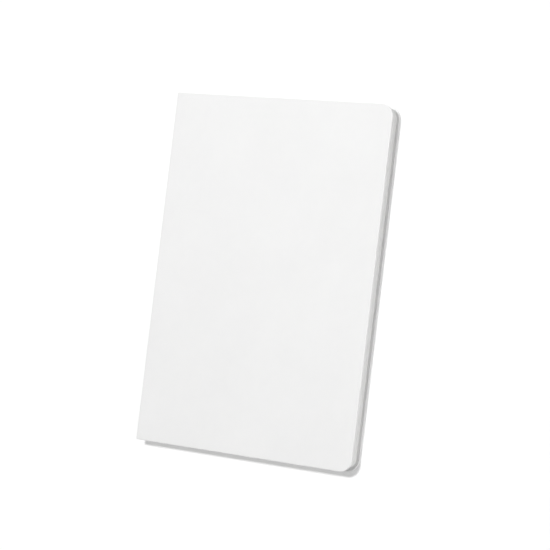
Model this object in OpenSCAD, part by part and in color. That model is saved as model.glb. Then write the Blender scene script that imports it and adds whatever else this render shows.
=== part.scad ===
// Case-bound stone paper notebook, closed and lying on its back cover.
// Millimetres. +X runs from the spine to the fore-edge, +Y from the tail to the head, +Z out of the
// front cover. The origin is at the middle of the back cover's outer face.

/* [Cover] */
// Width of the closed cover, from the spine to the fore-edge
cover_w = 145; // [100:1:220]
// Height of the cover, from the tail to the head
cover_h = 210; // [140:1:320]
// Radius of the cover's two corners at the fore-edge
cover_corner_r = 7.5; // [4:0.5:12]
// Thickness of the greyboard inside each cover
board_t = 1.2; // [0.8:0.1:3]
// Thickness of the stone paper that covers the boards
covering_t = 0.2; // [0.1:0.05:0.4]
// Outer radius of the covering where it folds over an edge
fold_r = 0.5; // [0.2:0.1:0.6]
// Width of the covering that is turned in over the inside of the boards
turn_in_w = 14; // [9:1:20]

/* [Spine] */
// Thickness of the stiff strip inside the spine
spine_board_t = 1; // [0.8:0.1:2]
// Thickness of the paper glued along the back of the pages
lining_t = 0.3; // [0.1:0.05:0.5]
// Distance that this paper stays back from the head and the tail of the pages
lining_margin = 5; // [2:1:20]

/* [Pages] */
// Number of leaves between the two flyleaves
leaf_count = 72; // [48:8:160]
// Thickness of one leaf of stone paper
leaf_t = 0.1; // [0.08:0.01:0.16]
// Thickness of the endpapers, which are the flyleaves and the pastedowns
endpaper_t = 0.15; // [0.1:0.05:0.3]
// Distance from the edge of the pages to the edge of the cover
square_w = 1.7; // [1:0.1:4]
// Radius of the pages' two corners at the fore-edge
page_corner_r = 6; // [3:0.5:12]

/* [Hidden] */
// One cover from its outer face to its turned-in covering, then with the pastedown on it
cover_t = covering_t + board_t + covering_t;
lined_cover_t = cover_t + endpaper_t;
// Inner face of a board, where its pastedown is glued
board_face_z = covering_t + board_t;
// The leaves alone, then the whole closed notebook
pages_t = leaf_count * leaf_t;
book_t = pages_t + 2 * (endpaper_t + lined_cover_t);
// Underside of the pages, on the back flyleaf
pages_z = lined_cover_t + endpaper_t;

// Outer face of the spine, inner face of the covering there, and inner face of the spine's turn-ins
spine_x = -cover_w / 2;
spine_skin_x = spine_x + covering_t;
spine_t = covering_t + spine_board_t + covering_t;
spine_inner_x = spine_x + spine_t;
// The pages, from the lining on their back to the fore-edge, and from tail to head
page_back_x = spine_inner_x + lining_t;
page_edge_x = cover_w / 2 - square_w;
page_h = cover_h - 2 * square_w;
// Edge of the turned-in covering at the fore-edge, and at the head and the tail
turn_in_x = cover_w / 2 - turn_in_w;
turn_in_y = cover_h / 2 - turn_in_w;

paper_colour = [0.95, 0.95, 0.95];
leaf_colour = [0.9, 0.9, 0.9];
board_colour = [0.62, 0.6, 0.56];
lining_colour = [0.78, 0.7, 0.58];
$fn = 96;
// Added past a face that a cut goes through
cut = 1;

// A sheet's outline, square at the spine and rounded at the fore-edge
module sheet_outline(left, right, height, corner_r) {
    translate([left, -height / 2])
        square([right - left - corner_r, height]);
    translate([left, corner_r - height / 2])
        square([right - left, height - 2 * corner_r]);
    for (side = [-1, 1])
        translate([right - corner_r, side * (height / 2 - corner_r)])
            circle(r = corner_r);
}

// A flat sheet or board of that outline
module sheet(left, right, height, corner_r, bottom, thickness) {
    translate([0, 0, bottom])
        linear_extrude(thickness)
            sheet_outline(left, right, height, corner_r);
}

// Section through an edge that ends at x = 0, with both its corners folded round
module folded_end(depth, thickness) {
    translate([-depth, 0])
        square([depth - fold_r, thickness]);
    translate([-fold_r, fold_r])
        square([fold_r, thickness - 2 * fold_r]);
    for (y = [fold_r, thickness - fold_r])
        translate([-fold_r, y])
            circle(r = fold_r);
}

// Section of that kind across a whole panel, from one folded end to the other
module folded_section(length, thickness) {
    for (side = [0, 1])
        mirror([side, 0])
            translate([length / 2, 0])
                folded_end(length / 2, thickness);
}

// Section from the spine to where the fore-edge corners start: only the outer edge is folded round
module spine_end_section(length) {
    translate([fold_r, 0])
        square([length - fold_r, cover_t]);
    translate([0, fold_r])
        square([fold_r, cover_t - fold_r]);
    translate([fold_r, fold_r])
        circle(r = fold_r);
}

// The whole cover panel as its covering shapes it, its outer face at z = 0
module cover_panel() {
    corner_x = cover_w / 2 - cover_corner_r;
    corner_y = cover_h / 2 - cover_corner_r;
    length = corner_x - spine_x;
    intersection() {
        translate([spine_x, 0, 0])
            rotate([90, 0, 90])
                linear_extrude(length)
                    folded_section(cover_h, cover_t);
        translate([spine_x, cover_h / 2 + cut, 0])
            rotate([90, 0, 0])
                linear_extrude(cover_h + 2 * cut)
                    spine_end_section(length);
    }
    translate([cover_w / 2, corner_y, 0])
        rotate([90, 0, 0])
            linear_extrude(2 * corner_y)
                folded_end(cover_corner_r, cover_t);
    for (side = [0, 1])
        mirror([0, side, 0])
            translate([corner_x, corner_y, 0])
                rotate_extrude(angle = 90)
                    translate([cover_corner_r, 0])
                        folded_end(cover_corner_r, cover_t);
}

// Room inside the covering for the board
module board_room() {
    sheet(spine_skin_x, cover_w / 2 - covering_t, cover_h - 2 * covering_t,
        cover_corner_r - covering_t, covering_t, board_t);
}

// Field inside the turn-ins, drawn in by a margin on its three turned-in sides
module turn_in_field(margin, bottom, top) {
    translate([spine_skin_x, margin - turn_in_y, bottom])
        cube([turn_in_x - margin - spine_skin_x, 2 * (turn_in_y - margin), top - bottom]);
}

// Covering of one cover: over the outer face, round the edges and turned in on the inner face.
// At the spine it runs up to the hinge line, level with the pastedown's face.
module cover_wrap() {
    color(paper_colour) {
        difference() {
            cover_panel();
            board_room();
            turn_in_field(0, board_face_z, cover_t + cut);
        }
        translate([spine_x, fold_r - cover_h / 2, cover_t])
            cube([covering_t, cover_h - 2 * fold_r, endpaper_t]);
    }
}

module cover_board() {
    color(board_colour)
        board_room();
}

// Glued half of an endpaper: it lies on the turn-ins and steps down on to the board inside them
module pastedown() {
    color(leaf_colour)
        difference() {
            union() {
                sheet(spine_skin_x, page_edge_x, page_h, page_corner_r, cover_t, endpaper_t);
                turn_in_field(0, board_face_z, lined_cover_t);
            }
            turn_in_field(endpaper_t, board_face_z + endpaper_t, lined_cover_t + cut);
        }
}

// Loose half of an endpaper: it runs over the edge of the spine board to the hinge line
module flyleaf() {
    color(leaf_colour)
        sheet(spine_skin_x, page_edge_x, page_h, page_corner_r, lined_cover_t, endpaper_t);
}

// Turns a piece of the back cover into its twin at the front
module at_front() {
    translate([0, 0, book_t])
        mirror([0, 0, 1])
            children();
}

// All the leaves, trimmed together
module page_block() {
    color(leaf_colour)
        sheet(page_back_x, page_edge_x, page_h, page_corner_r, pages_z, pages_t);
}

// Strip glued along the back of the pages
module spine_lining() {
    length = page_h - 2 * lining_margin;
    color(lining_colour)
        translate([page_back_x - lining_t, -length / 2, pages_z])
            cube([lining_t, length, pages_t]);
}

// Stiff strip that keeps the spine flat
module spine_board() {
    length = cover_h - 2 * covering_t;
    color(board_colour)
        translate([spine_skin_x, -length / 2, pages_z])
            cube([spine_board_t, length, pages_t]);
}

// Covering of the spine: over its outer face, round its two ends and turned in behind it
module spine_wrap() {
    color(paper_colour) {
        translate([spine_x, 0, pages_z])
            difference() {
                linear_extrude(pages_t)
                    rotate(90)
                        mirror([0, 1])
                            folded_section(cover_h, spine_t);
                translate([covering_t, covering_t - cover_h / 2, -cut])
                    cube([spine_board_t, cover_h - 2 * covering_t, pages_t + 2 * cut]);
                translate([covering_t, -turn_in_y, -cut])
                    cube([spine_t, 2 * turn_in_y, pages_t + 2 * cut]);
            }
        for (z = [lined_cover_t, pages_z + pages_t])
            translate([spine_x, fold_r - cover_h / 2, z])
                cube([covering_t, cover_h - 2 * fold_r, endpaper_t]);
    }
}

at_front() cover_wrap();  // front_cover_wrap
at_front() cover_board();  // front_board
at_front() pastedown();  // front_pastedown
at_front() flyleaf();  // front_flyleaf
page_block();
spine_lining();
spine_board();
spine_wrap();
flyleaf();  // back_flyleaf
pastedown();  // back_pastedown
cover_board();  // back_board
cover_wrap();  // back_cover_wrap
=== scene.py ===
"""A case-bound stone paper notebook, closed and lying on its back cover, on a plain white table."""

import math

import bmesh
import bpy
from mathutils import Matrix, Vector


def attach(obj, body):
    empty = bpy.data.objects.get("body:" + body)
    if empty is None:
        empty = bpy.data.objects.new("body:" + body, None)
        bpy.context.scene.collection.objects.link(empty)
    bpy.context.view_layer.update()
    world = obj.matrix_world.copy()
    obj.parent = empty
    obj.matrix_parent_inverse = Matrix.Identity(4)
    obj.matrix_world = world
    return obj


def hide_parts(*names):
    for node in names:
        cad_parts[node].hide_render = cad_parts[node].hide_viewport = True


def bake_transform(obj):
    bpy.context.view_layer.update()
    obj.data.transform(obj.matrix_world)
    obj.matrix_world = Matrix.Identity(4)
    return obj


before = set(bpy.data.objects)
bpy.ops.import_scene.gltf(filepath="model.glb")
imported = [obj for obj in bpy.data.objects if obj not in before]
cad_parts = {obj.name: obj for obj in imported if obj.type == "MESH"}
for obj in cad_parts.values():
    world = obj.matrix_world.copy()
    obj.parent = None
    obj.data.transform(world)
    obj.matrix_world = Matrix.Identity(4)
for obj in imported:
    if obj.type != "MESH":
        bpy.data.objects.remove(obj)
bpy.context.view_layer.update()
MM = 0.001


# Camera. It looks down on the notebook from the side of the fore-edge, through a long lens, with
# the head of the book towards the top of the picture. It carries no part of the object.
eye = Vector((562.8, -24.0, 996.5)) * MM
looks_at = Vector((9.1, 1.7, 11.0)) * MM
picture_up = Vector((-0.0925, 0.9927, 0.0778))
lens_mm = 127.5
sensor_mm = 36.0
nearest_seen = 0.05

back = (eye - looks_at).normalized()
right = picture_up.cross(back).normalized()
up = back.cross(right)
camera = bpy.data.objects.new("camera", bpy.data.cameras.new("camera"))
camera.data.lens = lens_mm
camera.data.sensor_width = sensor_mm
camera.data.clip_start = nearest_seen
camera.matrix_world = Matrix.Translation(eye) @ Matrix((right, up, back)).transposed().to_4x4()
bpy.context.collection.objects.link(camera)
bpy.context.scene.camera = camera


# Table and light. A white table, a soft window of light above the head of the book, a low fill
# from the fore-edge, a weaker one from the head, and an even sky. None of it belongs to the
# notebook.
class Term:
    """A value in a shader: sums and products with it add the Math nodes that they need."""

    def __init__(self, finish, socket):
        self.finish = finish
        self.socket = socket

    def __add__(self, other):
        return self.finish.maths("ADD", self, other)

    __radd__ = __add__

    def __sub__(self, other):
        return self.finish.maths("SUBTRACT", self, other)

    def __rsub__(self, other):
        return self.finish.maths("SUBTRACT", other, self)

    def __mul__(self, other):
        return self.finish.maths("MULTIPLY", self, other)

    __rmul__ = __mul__


class Finish:
    """The node tree of one surface, built a node at a time."""

    def __init__(self, owner):
        owner.use_nodes = True
        self.owner = owner
        self.tree = owner.node_tree

    def node(self, kind, settings=(), sockets=(), out=0):
        """Adds a node, makes its settings, then gives its sockets their values or links."""
        made = self.tree.nodes.new(kind)
        for name, value in dict(settings).items():
            setattr(made, name, value)
        for key, value in dict(sockets).items():
            self.feed(made.inputs[key], value)
        return Term(self, made.outputs[out]) if made.outputs else None

    def feed(self, target, value):
        """Links a term to a socket, or sets the socket to a plain value."""
        if isinstance(value, Term):
            self.tree.links.new(value.socket, target)
        else:
            target.default_value = value

    def maths(self, operation, *terms):
        """Adds a Math node that works on terms and plain numbers."""
        return self.node("ShaderNodeMath", {"operation": operation}, enumerate(terms))

    def mix_colours(self, factor, first, second):
        """Goes from the first colour to the second. Each is a term or a plain tuple."""
        sockets = {0: factor}
        for number, colour in ((6, first), (7, second)):
            sockets[number] = (*colour, 1) if isinstance(colour, tuple) else colour
        return self.node("ShaderNodeMix", {"data_type": "RGBA"}, sockets, 2)

    def noise(self, place, size, detail=2.0, roughness=0.5):
        """Cloudy noise whose blotches are about as large as size, in metres."""
        sockets = {"Vector": place, "Scale": 1 / size, "Detail": detail, "Roughness": roughness}
        return self.node("ShaderNodeTexNoise", {}, sockets, "Fac")

    def ramp(self, value, low, high, start=0.0, end=1.0):
        """start up to low, end from high on, and an even slope between them."""
        sockets = {"Value": value, 1: low, 2: high, 3: start, 4: end}
        return self.node("ShaderNodeMapRange", {"clamp": True}, sockets)

    def place(self):
        """Where a point is on the piece at rest, in metres."""
        return self.node("ShaderNodeTexCoord", {}, {}, "Object")

    def axes(self, place):
        """The three coordinates of a place."""
        parted = self.tree.nodes.new("ShaderNodeSeparateXYZ")
        self.feed(parted.inputs[0], place)
        return [Term(self, socket) for socket in parted.outputs]

    def paint(self, colour, roughness, relief):
        """Gives the surface its colour, its roughness and a relief of (height, depth in metres)."""
        surface = self.tree.nodes["Principled BSDF"]
        self.feed(surface.inputs["Base Color"], colour)
        self.feed(surface.inputs["Roughness"], roughness)
        height, depth = relief
        bump = self.node("ShaderNodeBump", {}, {"Height": height, "Distance": depth}, "Normal")
        self.feed(surface.inputs["Normal"], bump)

    def seen(self):
        """1 for what the camera sees, straight on or in a gloss, and 0 for light that bounces."""
        rays = self.tree.nodes.new("ShaderNodeLightPath")
        straight, glossy, through = (
            Term(self, rays.outputs[name])
            for name in ("Is Camera Ray", "Is Glossy Ray", "Is Transmission Ray")
        )
        return self.maths("MINIMUM", straight + glossy + through, 1.0)


sky_level = 0.27
key_watts = 17.1
key_size = 0.20
key_place = Vector((-0.01, 0.376, 1.555))
fill_watts = 5.05
fill_size = 0.20
fill_place = Vector((1.15, -0.45, 0.113))
head_fill_watts = 4.0
head_fill_place = Vector((0.05, 1.25, 0.12))
table_half = 3.0
table_white = 0.60
# How strongly the shadow shows on the white table, the light that falls on its middle and how it
# grows with x and with y, and where the table fades into the plain white of the background.
shadow_depth = 0.86
table_light = 0.925
light_growth = (0.15, 0.27)
shadow_reach = (0.27, 0.50)

world = bpy.data.worlds.new("sky")
bpy.context.scene.world = world
sky = Finish(world)
sky.tree.nodes.clear()
even = sky.node("ShaderNodeBackground", {}, {"Color": (1, 1, 1, 1), "Strength": sky_level})
white = sky.node("ShaderNodeBackground", {}, {"Color": (1, 1, 1, 1), "Strength": 1.0})
sky.node("ShaderNodeOutputWorld")
sky.feed(sky.tree.nodes["World Output"].inputs["Surface"],
         sky.node("ShaderNodeMixShader", {}, {0: sky.seen(), 1: even, 2: white}))


def lamp(name, watts, size, place):
    """A square soft light that points at the middle of the table. The camera doesn't see it."""
    light = bpy.data.lights.new(name, "AREA")
    light.energy = watts
    light.size = size
    holder = bpy.data.objects.new(name, light)
    holder.location = place
    holder.rotation_mode = "QUATERNION"
    holder.rotation_quaternion = (-place).to_track_quat("-Z", "Y")
    holder.visible_camera = False
    bpy.context.collection.objects.link(holder)


lamp("key", key_watts, key_size, key_place)
lamp("fill", fill_watts, fill_size, fill_place)
lamp("head_fill", head_fill_watts, fill_size, head_fill_place)

table_mesh = bpy.data.meshes.new("table")
corners = [(x * table_half, y * table_half, 0) for x, y in ((-1, -1), (1, -1), (1, 1), (-1, 1))]
table_mesh.from_pydata(corners, [], [(0, 1, 2, 3)])
table = bpy.data.objects.new("table", table_mesh)
bpy.context.collection.objects.link(table)

cloth = Finish(bpy.data.materials.new("table_white"))
cloth.tree.nodes.clear()
place = cloth.place()
distance = cloth.node("ShaderNodeVectorMath", {"operation": "LENGTH"}, {0: place}, "Value")
shaded = cloth.ramp(distance, *shadow_reach, shadow_depth, 0.0)
grey = cloth.mix_colours(shaded, (0.0, 0.0, 0.0), (1.0, 1.0, 1.0))
lit = cloth.node("ShaderNodeBsdfDiffuse", {}, {"Color": grey})
x, y, _ = cloth.axes(place)
falling = x * light_growth[0] + y * light_growth[1] + table_light
own = cloth.node("ShaderNodeEmission", {}, {"Strength": 1.0 - shaded * falling})
shown = cloth.node("ShaderNodeAddShader", {}, {0: lit, 1: own})
plain = cloth.node("ShaderNodeBsdfDiffuse", {}, {"Color": (table_white,) * 3 + (1,)})
cloth.node("ShaderNodeOutputMaterial")
cloth.feed(cloth.tree.nodes["Material Output"].inputs["Surface"],
           cloth.node("ShaderNodeMixShader", {}, {0: cloth.seen(), 1: plain, 2: shown}))
table_mesh.materials.append(cloth.owner)

bpy.context.scene.view_settings.view_transform = "Standard"


# Boards. Each cover is stiffened by a sheet of greyboard, pressed from waste paper, and the spine
# by a narrow strip of it. They are glued to the covering before its edges are turned in, so all
# that ever shows of them is a sliver at the hinges.
board_colours = ((0.29, 0.27, 0.235), (0.37, 0.35, 0.305))
pale_fleck = (0.47, 0.45, 0.41)
dark_fleck = (0.17, 0.16, 0.15)
pulp_size = 0.004
pulp_range = (0.3, 0.7)
pulp_relief = 0.00003
fleck_size = 0.0007
pale_flecks_from = (0.60, 0.72)
dark_flecks_to = (0.28, 0.40)
fleck_strength = 0.6
board_roughness = 0.92
fleck_gloss = 0.15

greyboard = Finish(bpy.data.materials.new("greyboard"))
place = greyboard.place()
pulp = greyboard.noise(place, pulp_size, detail=4.0, roughness=0.65)
flecks = greyboard.noise(place, fleck_size, detail=1.0)
pale = greyboard.ramp(flecks, *pale_flecks_from, 0.0, fleck_strength)
dark = greyboard.ramp(flecks, *dark_flecks_to, fleck_strength, 0.0)
colour = greyboard.mix_colours(greyboard.ramp(pulp, *pulp_range), *board_colours)
colour = greyboard.mix_colours(pale, colour, pale_fleck)
colour = greyboard.mix_colours(dark, colour, dark_fleck)
greyboard.paint(colour, board_roughness - pale * fleck_gloss, (pulp + flecks, pulp_relief))

for name in ("front_board", "spine_board", "back_board"):
    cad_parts[name].material_slots[0].material = greyboard.owner


# Covers. One sheet of stone paper, which is chalk bound with a little plastic, is drawn over each
# board, folded round its edges and turned in by 14 mm, in small pleats at the rounded corners. On
# the spine's side it runs on to the hinge line instead.
half_w = 72.5
half_h = 105.0
book_t = 11.0
cover_t = 1.6
hinge_z = 1.75
covering_t = 0.2
board_top = 1.4
corner_r = 7.5
fold_r = 0.5
turn_in = 14.0
fullness = 0.62
crown = 0.035
crown_reach = 4.0
crown_insets = (6.5, 4.5, 3.3, 2.4, 1.7, 1.1)
fold_steps = 9
round_over = 0.05
pleats = 7
pleat_depth = 0.08
pleat_half = 0.2
pleat_start = 0.1
pleat_rise = 0.5
pleat_clear = 0.5
pleat_fade = 3
across_steps = 20
along_steps = 30
corner_steps = 56
spine_corner_steps = 4
merge_distance = 0.000001
sliver_length = 0.0000005
sharp_angle = math.radians(35)


def smooth(value):
    """A soft step from 0 to 1."""
    value = min(max(value, 0.0), 1.0)
    return value * value * (3 - 2 * value)


def outline(left, right, half, radius, spine_radius):
    """A sheet's outline, from the tail of the spine round to it again. Each point is x, y, its
    share of the spine's side, and how far round a fore-edge corner it is."""
    points = []

    def straight(x0, y0, x1, y1, steps, share):
        for step in range(steps):
            part = step / steps
            points.append((x0 + (x1 - x0) * part, y0 + (y1 - y0) * part, share, None))

    def corner(x, y, size, first_angle, steps, shares):
        for step in range(steps):
            part = step / steps
            angle = math.radians(first_angle + 90 * part)
            share = shares[0] + (shares[1] - shares[0]) * part
            round_corner = None if shares[0] != shares[1] else part
            points.append((x + size * math.cos(angle), y + size * math.sin(angle), share, round_corner))

    straight(left + spine_radius, -half, right - radius, -half, across_steps, 0)
    corner(right - radius, radius - half, radius, -90, corner_steps, (0, 0))
    straight(right, radius - half, right, half - radius, along_steps, 0)
    corner(right - radius, half - radius, radius, 0, corner_steps, (0, 0))
    straight(right - radius, half, left + spine_radius, half, across_steps, 0)
    corner(left + spine_radius, half - spine_radius, spine_radius, 90, spine_corner_steps, (0, 1))
    straight(left, half - spine_radius, left, spine_radius - half, along_steps, 1)
    corner(left + spine_radius, spine_radius - half, spine_radius, 180, spine_corner_steps, (1, 0))
    return points


def piece(name, points, faces, surface):
    """A piece from points in millimetres, its doubles merged and its faces turned outwards."""
    mesh = bpy.data.meshes.new(name)
    shape = bmesh.new()
    made = [shape.verts.new((x * MM, y * MM, z * MM)) for x, y, z in points]
    for face in faces:
        shape.faces.new([made[corner] for corner in face])
    bmesh.ops.remove_doubles(shape, verts=shape.verts, dist=merge_distance)
    bmesh.ops.dissolve_degenerate(shape, edges=shape.edges, dist=sliver_length)
    bmesh.ops.recalc_face_normals(shape, faces=shape.faces)
    shape.to_mesh(mesh)
    shape.free()
    mesh.shade_smooth()
    mesh.set_sharp_from_angle(angle=sharp_angle)
    mesh.materials.append(surface.owner)
    thing = bpy.data.objects.new(name, mesh)
    bpy.context.collection.objects.link(thing)
    return thing


def rings_to_faces(rings):
    """Points and faces of a closed shape, from its outlines in order. A flat face closes each end."""
    size = len(rings[0])
    points = [point for ring in rings for point in ring]
    faces = [tuple(range(size)), tuple(range(len(points) - size, len(points)))]
    for start in range(0, len(points) - size, size):
        for step in range(size):
            after = (step + 1) % size
            faces.append((start + step, start + after, start + size + after, start + size + step))
    return points, faces


def at_front(points):
    """The same shape at the front of the book, where a back piece's inside faces the other way."""
    return [(x, y, book_t - z) for x, y, z in points]


def crowned(inset):
    """Height of the outer face above the table: the middle of a pasted cover stands proud."""
    return crown * (1 - smooth((inset - fold_r) / crown_reach))


def pleat(round_corner, inset):
    """Depth of the pleats at a place on a turned-in corner."""
    if round_corner is None:
        return 0
    off_fold = abs((round_corner * pleats) % 1 - 0.5)
    rising = smooth((inset - pleat_start) / pleat_rise)
    fading = smooth((corner_r - pleat_clear - inset) / pleat_fade)
    return pleat_depth * max(0, 1 - off_fold / pleat_half) * (rising * fading)


# Each step gives inset and height on the three turned-in sides, then on the spine's side.
cover_steps = [(inset, crowned(inset)) * 2 for inset in crown_insets]
for step in range(fold_steps + 1):
    angle = math.pi / 2 * step / fold_steps
    across, down = math.sin(angle) ** fullness, math.cos(angle) ** fullness
    cover_steps.append((fold_r * (1 - across), fold_r - (fold_r - crown) * down) * 2)
inner_fold_z = cover_t - fold_r
for step in range(fold_steps + 1):
    angle = math.pi / 2 * step / fold_steps
    wall_z = inner_fold_z + (hinge_z - round_over - inner_fold_z) * step / fold_steps
    across, down = math.cos(angle) ** fullness, math.sin(angle) ** fullness
    cover_steps.append((fold_r * (1 - across), inner_fold_z + fold_r * down, 0, wall_z))
cover_steps += [
    (0.8, cover_t, 0.015, hinge_z - 0.015),
    (1.2, cover_t, round_over, hinge_z),
    (2.0, cover_t, 0.15, hinge_z),
    (3.5, cover_t, 0.185, hinge_z - 0.015),
    (6.0, cover_t, covering_t, 1.70),
    (7.5, cover_t, covering_t, 1.67),
    (10.0, cover_t, covering_t, 1.63),
    (13.98, cover_t, covering_t, cover_t),
    (turn_in, 1.58, covering_t, 1.58),
]
turned_end = len(cover_steps)
# From the turned-in edge the inner side of the covering runs back along the board's faces.
cover_steps += [
    (turn_in, board_top, covering_t, board_top),
    (7.5, board_top, covering_t, 1.1),
    (4.0, board_top, covering_t, 0.8),
    (covering_t, board_top, covering_t, 0.5),
    (covering_t, covering_t, covering_t, covering_t),
]
cover_rings = []
for number, (inset, z, spine_inset, spine_z) in enumerate(cover_steps):
    sides = outline(spine_inset - half_w, half_w - inset, half_h - inset,
                    max(corner_r - inset, 0), max(fold_r - inset, 0))
    turned = 2 * fold_steps < number < turned_end
    cover_rings.append([
        (x, y, z + (spine_z - z) * share - (pleat(corner, inset) if turned else 0))
        for x, y, share, corner in sides
    ])
cover_points, cover_faces = rings_to_faces(cover_rings)

stone_pale = (0.893, 0.893, 0.890)
stone_grey = (0.868, 0.868, 0.866)
# The colour of the painted shade along the edges, where the face rolls over into the fold.
stone_edge_shade = (0.80, 0.80, 0.795)
tone_range = (0.35, 0.65)
cloud_size = 0.028
cloud_share = 0.5
mottle_size = 0.0045
mottle_share = 0.2
mottle_height = 0.4
grain_size = 0.0003
grain_share = 0.3
grain_height = 0.6
stone_relief = 0.000035
edge_band_reach = 0.0016
edge_band_past = 0.0004
edge_band_wander = 0.0008
edge_shade_strength = 0.12
edge_shade_in_grain = 0.25
scuff_size = 0.012
scuff_range = (0.58, 0.70)
stone_roughness = 0.58
grain_roughness = 0.10
rubbed_gloss = 0.10
scuff_gloss = 0.07

covering = Finish(bpy.data.materials.new("stone_paper_covering"))
place = covering.place()
cloud = covering.noise(place, cloud_size, detail=3.0)
mottle = covering.noise(place, mottle_size, detail=2.0)
grain = covering.noise(place, grain_size, detail=2.0, roughness=0.6)
x, y, _ = covering.axes(place)
past_x = covering.maths("ABSOLUTE", x) - (half_w - corner_r) * MM
past_y = covering.maths("ABSOLUTE", y) - (half_h - corner_r) * MM
past_x = covering.maths("MAXIMUM", past_x, 0.0)
past_y = covering.maths("MAXIMUM", past_y, 0.0)
reach = covering.maths("SQRT", past_x * past_x + past_y * past_y)
# A band along every edge. Its colour is painted darker there as shade, where the face rolls over into
# the fold, and it is also made less rough, as a burnished edge is.
edge = covering.ramp(reach + mottle * edge_band_wander,
                     corner_r * MM - edge_band_reach, corner_r * MM + edge_band_past)
scuffs = covering.ramp(covering.noise(place, scuff_size, detail=6.0, roughness=0.7), *scuff_range)
tone = cloud * cloud_share + mottle * mottle_share + grain * grain_share
colour = covering.mix_colours(covering.ramp(tone, *tone_range), stone_grey, stone_pale)
# The painted shade along the edges, a little stronger where the grain is.
edge_shade = edge * (edge_shade_strength + grain * edge_shade_in_grain)
colour = covering.mix_colours(edge_shade, colour, stone_edge_shade)
roughness = stone_roughness + grain * grain_roughness - edge * rubbed_gloss - scuffs * scuff_gloss
covering.paint(colour, roughness, (grain * grain_height + mottle * mottle_height, stone_relief))

back_cover = piece("back_cover_covering", cover_points, cover_faces, covering)
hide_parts("back_cover_wrap")
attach(back_cover, "back_cover")

front_cover = piece("front_cover_covering", at_front(cover_points), cover_faces, covering)
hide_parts("front_cover_wrap")
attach(front_cover, "front_cover")


# Spine. The same covering runs across the stiff strip, round its two ends and a little way in
# behind it. It is creased along both hinge lines.
spine_back = -71.1
spine_half_z = 3.6
hinge_half_z = book_t / 2 - hinge_z
end_half_z = 3.74
spine_fold_steps = 6
turn_in_steps = 6
length_steps = 30
turn_in_y = half_h - turn_in
fold_y = half_h - fold_r
skin_x = covering_t - half_w
skin_y = half_h - covering_t


def ribbon(stations, sweep, put):
    """Points and faces of a thin strip. A station is (outer point, inner point, a note for each), and
    put sets a point at a step of the sweep in space."""
    count = len(stations)
    points = []
    for step in sweep:
        for side in (0, 1):
            points += [put(station[side], side, station[2][side], step) for station in stations]
    faces = []
    for row in range(len(sweep) - 1):
        for side in (0, 1):
            start = (2 * row + side) * count
            for place_on in range(count - 1):
                near = start + place_on
                faces.append((near, near + 1, near + 1 + 2 * count, near + 2 * count))
        for end in (0, count - 1):
            near = 2 * row * count + end
            faces.append((near, near + count, near + 3 * count, near + 2 * count))
    for start in (0, 2 * count * (len(sweep) - 1)):
        for place_on in range(count - 1):
            near = start + place_on
            faces.append((near, near + 1, near + 1 + count, near + count))
    return points, faces


head_end = []
for step in range(turn_in_steps + 1):
    y = turn_in_y + (fold_y - turn_in_y) * step / turn_in_steps
    head_end.append(((spine_back, y), (spine_back - covering_t, y), (spine_half_z, spine_half_z)))
for step in range(1, spine_fold_steps + 1):
    angle = math.pi / 2 * step / spine_fold_steps
    outer = (spine_back - fold_r + fold_r * math.cos(angle), fold_y + fold_r * math.sin(angle))
    head_end.append((outer, (spine_back - covering_t, skin_y), (end_half_z, spine_half_z)))
for step in range(spine_fold_steps + 1):
    angle = math.pi / 2 * (1 + step / spine_fold_steps)
    outer = (fold_r - half_w + fold_r * math.cos(angle), fold_y + fold_r * math.sin(angle))
    reach_z = end_half_z + (hinge_half_z - end_half_z) * step / spine_fold_steps
    head_end.append((outer, (skin_x, skin_y), (reach_z, spine_half_z)))
middle = []
for step in range(1, length_steps):
    part = 1 - 2 * step / length_steps
    middle.append(((-half_w, fold_y * part), (skin_x, skin_y * part), (hinge_half_z, hinge_half_z)))
tail_end = [((ox, -oy), (ix, -iy), reach_z) for (ox, oy), (ix, iy), reach_z in reversed(head_end)]
spine_stations = head_end + middle + tail_end

# Distance from the hinge line, and how far the crease there draws the outer face in.
crease = [(0.0, 0.12), (0.03, 0.055), (0.09, 0.018), (0.2, 0.0)]
flat_depths = [1.5, 2.8]
spine_sweep = [(-1, depth, draw) for depth, draw in crease]
spine_sweep += [(-1, depth, 0.0) for depth in flat_depths]
spine_sweep += [(1, depth, 0.0) for depth in reversed(flat_depths)]
spine_sweep += [(1, depth, draw) for depth, draw in reversed(crease)]


def put_spine(point, side, reach_z, step):
    """Sets a point of the spine's covering in space. Its outer face is drawn in at the creases."""
    way, depth, draw = step
    x, y = point
    x += draw * (1 - side) * (1 if x < skin_x else 0)
    return x, y, book_t / 2 + way * (reach_z - depth)


spine_points, spine_faces = ribbon(spine_stations, spine_sweep, put_spine)
spine = piece("spine_covering", spine_points, spine_faces, covering)
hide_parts("spine_wrap")
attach(spine, "pages_and_spine")


# Spine lining. A strip of creped brown paper is glued along the back of the leaves, and holds them
# together behind the spine.
brown_pale = (0.60, 0.475, 0.325)
brown_dark = (0.47, 0.36, 0.24)
crepe_size = 0.0011
crepe_scale = (1.0, 1.0, 0.25)
crepe_share = 0.6
crepe_relief = 0.00006
fibre_size = 0.003
fibre_share = 0.4
brown_roughness = 0.95
fibre_gloss = 0.2

brown_paper = Finish(bpy.data.materials.new("creped_brown_paper"))
place = brown_paper.place()
stretched = brown_paper.node("ShaderNodeMapping", {}, {"Vector": place, "Scale": crepe_scale})
creases = brown_paper.noise(stretched, crepe_size, detail=3.0, roughness=0.6)
fibres = brown_paper.noise(place, fibre_size, detail=5.0, roughness=0.7)
tone = brown_paper.ramp(creases * crepe_share + fibres * fibre_share, *tone_range)
colour = brown_paper.mix_colours(tone, brown_dark, brown_pale)
brown_paper.paint(colour, brown_roughness - fibres * fibre_gloss, (creases, crepe_relief))
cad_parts["spine_lining"].material_slots[0].material = brown_paper.owner


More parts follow.
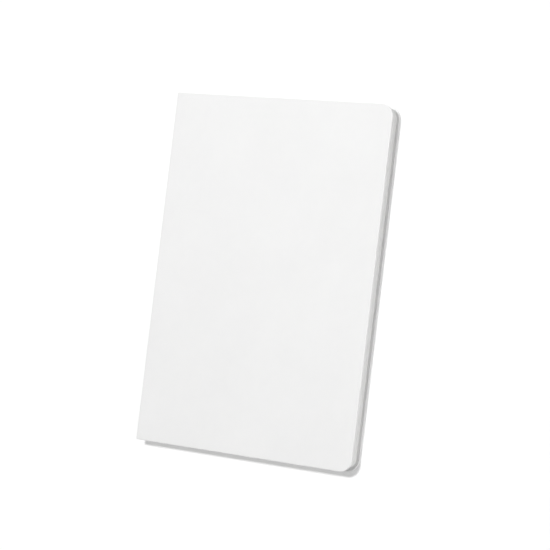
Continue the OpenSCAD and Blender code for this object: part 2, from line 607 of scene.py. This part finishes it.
# Leaves. The block is 72 leaves of stone paper, stacked, glued along the back and trimmed together
# with rounded corners. The trimmed edge shows each leaf as a hairline.
leaf_count = 72
leaf_t = 0.1
leaf_gap = 0.006
leaf_stray = 0.035
leaf_back = -70.8
leaf_edge = 70.8
leaf_half_h = 103.3
leaf_corner_r = 6.0
leaf_corner_steps = 14
leaves_z = 1.9
leaf_seed = 11
leaf_grey = (0.86, 0.86, 0.85)
leaf_pale = (0.92, 0.92, 0.91)
leaf_tone_range = (0.15, 0.85)
tint_share = 0.55
spread_size = 0.02
spread_share = 0.25
cut_size = 0.0004
cut_share = 0.20
cut_relief = 0.000008
leaf_roughness = 0.62
cut_roughness = 0.12

leaf_paper = Finish(bpy.data.materials.new("stone_paper_leaves"))
place = leaf_paper.place()
level = leaf_paper.axes(place)[2]
leaf_number = leaf_paper.maths("FLOOR", (level - leaves_z * MM) * (1 / (leaf_t * MM)))
leaf_tint = leaf_paper.node("ShaderNodeTexWhiteNoise", {"noise_dimensions": "1D"}, {"W": leaf_number})
spread = leaf_paper.noise(place, spread_size, detail=3.0)
cut = leaf_paper.noise(place, cut_size, detail=2.0)
tone = leaf_tint * tint_share + spread * spread_share + cut * cut_share
colour = leaf_paper.mix_colours(leaf_paper.ramp(tone, *leaf_tone_range), leaf_grey, leaf_pale)
leaf_paper.paint(colour, leaf_roughness + cut * cut_roughness, (cut, cut_relief))

tree = bpy.data.node_groups.new("leaf_stack", "GeometryNodeTree")
inputs = {}
for label, kind, value in (
    ("Count", "NodeSocketInt", leaf_count),
    ("Block width", "NodeSocketFloat", (leaf_edge - leaf_back) * MM),
    ("Block height", "NodeSocketFloat", 2 * leaf_half_h * MM),
    ("Leaf thickness", "NodeSocketFloat", leaf_t * MM),
    ("Gap", "NodeSocketFloat", leaf_gap * MM),
    ("Corner radius", "NodeSocketFloat", leaf_corner_r * MM),
    ("Corner steps", "NodeSocketInt", leaf_corner_steps),
    ("Stray", "NodeSocketFloat", leaf_stray * MM),
    ("Seed", "NodeSocketInt", leaf_seed),
):
    socket = tree.interface.new_socket(label, in_out="INPUT", socket_type=kind)
    inputs[label] = (socket.identifier, value)
tree.interface.new_socket("Geometry", in_out="OUTPUT", socket_type="NodeSocketGeometry")
given = tree.nodes.new("NodeGroupInput")


def step_node(kind, settings=(), links=(), out=0):
    """Adds a node to the leaf tree and returns one of its outputs."""
    made = tree.nodes.new(kind)
    for setting, value in dict(settings).items():
        setattr(made, setting, value)
    for key, value in dict(links).items():
        if isinstance(value, bpy.types.NodeSocket):
            tree.links.new(value, made.inputs[key])
        else:
            made.inputs[key].default_value = value
    return made.outputs[out]


def step_maths(operation, first, second):
    """Adds a Math node to the leaf tree."""
    return step_node("ShaderNodeMath", {"operation": operation}, {0: first, 1: second})


stray = given.outputs["Stray"]
width = step_maths("SUBTRACT", given.outputs["Block width"], stray)
height = step_maths("SUBTRACT", given.outputs["Block height"], stray)
place_x = step_node("ShaderNodeSeparateXYZ", {}, {0: step_node("GeometryNodeInputPosition")})
at_fore_edge = step_node("FunctionNodeCompare", {"data_type": "FLOAT", "operation": "GREATER_THAN"},
                         {0: place_x, 1: 0.0})
rounding = step_maths("MULTIPLY", given.outputs["Corner radius"], at_fore_edge)
edge_line = step_node("GeometryNodeCurvePrimitiveQuadrilateral", {"mode": "RECTANGLE"},
                      {"Width": width, "Height": height})
edge_line = step_node("GeometryNodeFilletCurve", {"mode": "POLY"},
                      {"Curve": edge_line, "Count": given.outputs["Corner steps"], "Radius": rounding})
face = step_node("GeometryNodeFillCurve", {"mode": "NGONS"}, {"Curve": edge_line})
thickness = step_maths("SUBTRACT", given.outputs["Leaf thickness"], given.outputs["Gap"])
walls = step_node("GeometryNodeExtrudeMesh", {"mode": "FACES"},
                  {"Mesh": face, "Offset": (0, 0, 1), "Offset Scale": thickness, "Individual": False})
underside = step_node("GeometryNodeFlipFaces", {}, {"Mesh": face})
joined = tree.nodes.new("GeometryNodeJoinGeometry")
tree.links.new(walls, joined.inputs[0])
tree.links.new(underside, joined.inputs[0])
leaf = step_node("GeometryNodeMergeByDistance", {},
                 {"Geometry": joined.outputs[0], "Distance": merge_distance})
rise = step_node("ShaderNodeCombineXYZ", {}, {2: given.outputs["Leaf thickness"]})
stack = step_node("GeometryNodeMeshLine", {"mode": "OFFSET"},
                  {"Count": given.outputs["Count"], "Offset": rise})
half_stray = step_maths("MULTIPLY", stray, 0.5)
least_stray = step_maths("MULTIPLY", stray, -0.5)
strayed = step_node("FunctionNodeRandomValue", {"data_type": "FLOAT_VECTOR"},
                    {0: step_node("ShaderNodeCombineXYZ", {}, {0: least_stray, 1: least_stray}),
                     1: step_node("ShaderNodeCombineXYZ", {}, {0: half_stray, 1: half_stray}),
                     "Seed": given.outputs["Seed"]})
stack = step_node("GeometryNodeSetPosition", {}, {"Geometry": stack, "Offset": strayed})
stack = step_node("GeometryNodeInstanceOnPoints", {}, {"Points": stack, "Instance": leaf})
stack = step_node("GeometryNodeRealizeInstances", {}, {"Geometry": stack})
stack = step_node("GeometryNodeSetMaterial", {}, {"Geometry": stack, "Material": leaf_paper.owner})
tree.links.new(stack, tree.nodes.new("NodeGroupOutput").inputs[0])

stacker = bpy.data.objects.new("leaf_stacker", bpy.data.meshes.new("leaf_stacker"))
bpy.context.collection.objects.link(stacker)
modifier = stacker.modifiers.new("leaves", "NODES")
modifier.node_group = tree
for identifier, value in inputs.values():
    modifier[identifier] = value
evaluated = stacker.evaluated_get(bpy.context.evaluated_depsgraph_get())
stack_mesh = bpy.data.meshes.new_from_object(evaluated)
bpy.data.objects.remove(stacker)
stack_x = (leaf_back + leaf_edge) / 2 * MM
stack_z = leaves_z * MM + leaf_gap / 2 * MM
stack_mesh.transform(Matrix.Translation((stack_x, 0, stack_z)))
stack_mesh.set_sharp_from_angle(angle=sharp_angle)
leaves = bpy.data.objects.new("leaves", stack_mesh)
bpy.context.collection.objects.link(leaves)
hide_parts("page_block")
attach(leaves, "pages_and_spine")


# Endpapers. Each is a folded sheet. One half, the pastedown, is glued over the turned-in covering
# and dips on to the board inside it. The other half, the flyleaf, is glued to the leaves along the
# back. The fold between them lies in the hinge.
endpaper_t = 0.15
fold_start = -71.5
sunk = 0.2
dip_inset = 12.3
dip_start = dip_inset - 0.4
spine_dip_inset = 3.0
spine_dip_start = 0.5
spine_dip_width = 3.0
dip_steps = 6
soft = 0.015
flyleaf_inset = 6.0
flyleaf_spine_inset = 2.0
endpaper_grey = (0.845, 0.845, 0.835)
endpaper_pale = (0.88, 0.88, 0.87)
endpaper_cloud_size = 0.035
endpaper_cloud_share = 0.6
endpaper_grain_size = 0.0005
endpaper_grain_share = 0.4
endpaper_grain_height = 0.3
endpaper_relief = 0.000012
endpaper_roughness = 0.60
glue_size = 0.006
glue_height = 0.7

endpaper = Finish(bpy.data.materials.new("stone_endpaper"))
place = endpaper.place()
cloud = endpaper.noise(place, endpaper_cloud_size, detail=3.0)
grain = endpaper.noise(place, endpaper_grain_size, detail=2.0, roughness=0.6)
glue = endpaper.noise(place, glue_size, detail=4.0, roughness=0.6)
tone = endpaper.ramp(cloud * endpaper_cloud_share + grain * endpaper_grain_share, *tone_range)
colour = endpaper.mix_colours(tone, endpaper_grey, endpaper_pale)
roughness = endpaper_roughness + grain * grain_roughness
relief = grain * endpaper_grain_height + glue * glue_height
endpaper.paint(colour, roughness, (relief, endpaper_relief))


def sheet_rings(steps):
    """Outlines of a sheet with the leaves' outline, from (inset, inset at the spine, z) steps."""
    rings = []
    for inset, spine_inset, z in steps:
        sides = outline(fold_start + spine_inset, leaf_edge - inset, leaf_half_h - inset,
                        max(leaf_corner_r - inset, 0), 0)
        rings.append([(x, y, z) for x, y, _, _ in sides])
    return rings_to_faces(rings)


pasted_steps = [
    (dip_inset, spine_dip_inset, board_top),
    (dip_inset, spine_dip_inset, cover_t),
    (soft, soft, cover_t),
    (0, 0, cover_t + soft),
    (0, 0, hinge_z - soft),
    (soft, soft, hinge_z),
    (3.0, 0.2, hinge_z),
    (6.0, 0.3, hinge_z),
    (dip_start, spine_dip_start, hinge_z),
]
for step in range(1, dip_steps + 1):
    part = step / dip_steps
    dip_z = hinge_z - sunk * smooth(part)
    pasted_steps.append((dip_start + part, spine_dip_start + spine_dip_width * part, dip_z))
pasted_points, pasted_faces = sheet_rings(pasted_steps)

flyleaf_top = hinge_z + endpaper_t
flyleaf_steps = [
    (flyleaf_inset, flyleaf_spine_inset, hinge_z),
    (soft, soft, hinge_z),
    (0, 0, hinge_z + soft),
    (0, 0, flyleaf_top - soft),
    (soft, soft, flyleaf_top),
    (flyleaf_inset, flyleaf_spine_inset, flyleaf_top),
]
flyleaf_points, flyleaf_faces = sheet_rings(flyleaf_steps)

# Half the slit between the two halves, the angle at which the bend reaches it, and the fold's
# section from the flyleaf to the pastedown.
slit = 0.02
slit_angle = 7.6
bend_x = -half_w + covering_t + endpaper_t
half_bend = [90, 75, 60, 45, 30, 18, slit_angle, 5, 2.5]
bend_angles = half_bend + [0] + [-degrees for degrees in reversed(half_bend)]
fold_stations = [((fold_start, flyleaf_top), (fold_start, hinge_z + slit), (0, 0))]
for degrees in bend_angles:
    angle = math.radians(degrees)
    outer = (bend_x - endpaper_t * math.cos(angle), hinge_z + endpaper_t * math.sin(angle))
    inner_z = slit * max(-1, min(1, degrees / slit_angle))
    inner = (bend_x + slit * (1 - math.cos(angle)), hinge_z + inner_z)
    fold_stations.append((outer, inner, (0, 0)))
fold_stations.append(((fold_start, cover_t), (fold_start, hinge_z - slit), (0, 0)))
fold_length_steps = 24
fold_sweep = [leaf_half_h * (2 * step / fold_length_steps - 1) for step in range(fold_length_steps + 1)]


def put_fold(point, side, note, y):
    """Sets a point of the fold's section at a place along the spine."""
    return point[0], y, point[1]


fold_points, fold_faces = ribbon(fold_stations, fold_sweep, put_fold)

for side, turned, line_z in (("back", list, hinge_z), ("front", at_front, book_t - hinge_z)):
    pasted = piece(side + "_pasted_endpaper", turned(pasted_points), pasted_faces, endpaper)
    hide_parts(side + "_pastedown")
    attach(pasted, side + "_cover")
    loose = piece(side + "_loose_endpaper", turned(flyleaf_points), flyleaf_faces, endpaper)
    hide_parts(side + "_flyleaf")
    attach(loose, "pages_and_spine")
    fold = piece(side + "_endpaper_fold", turned(fold_points), fold_faces, endpaper)
    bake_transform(fold)
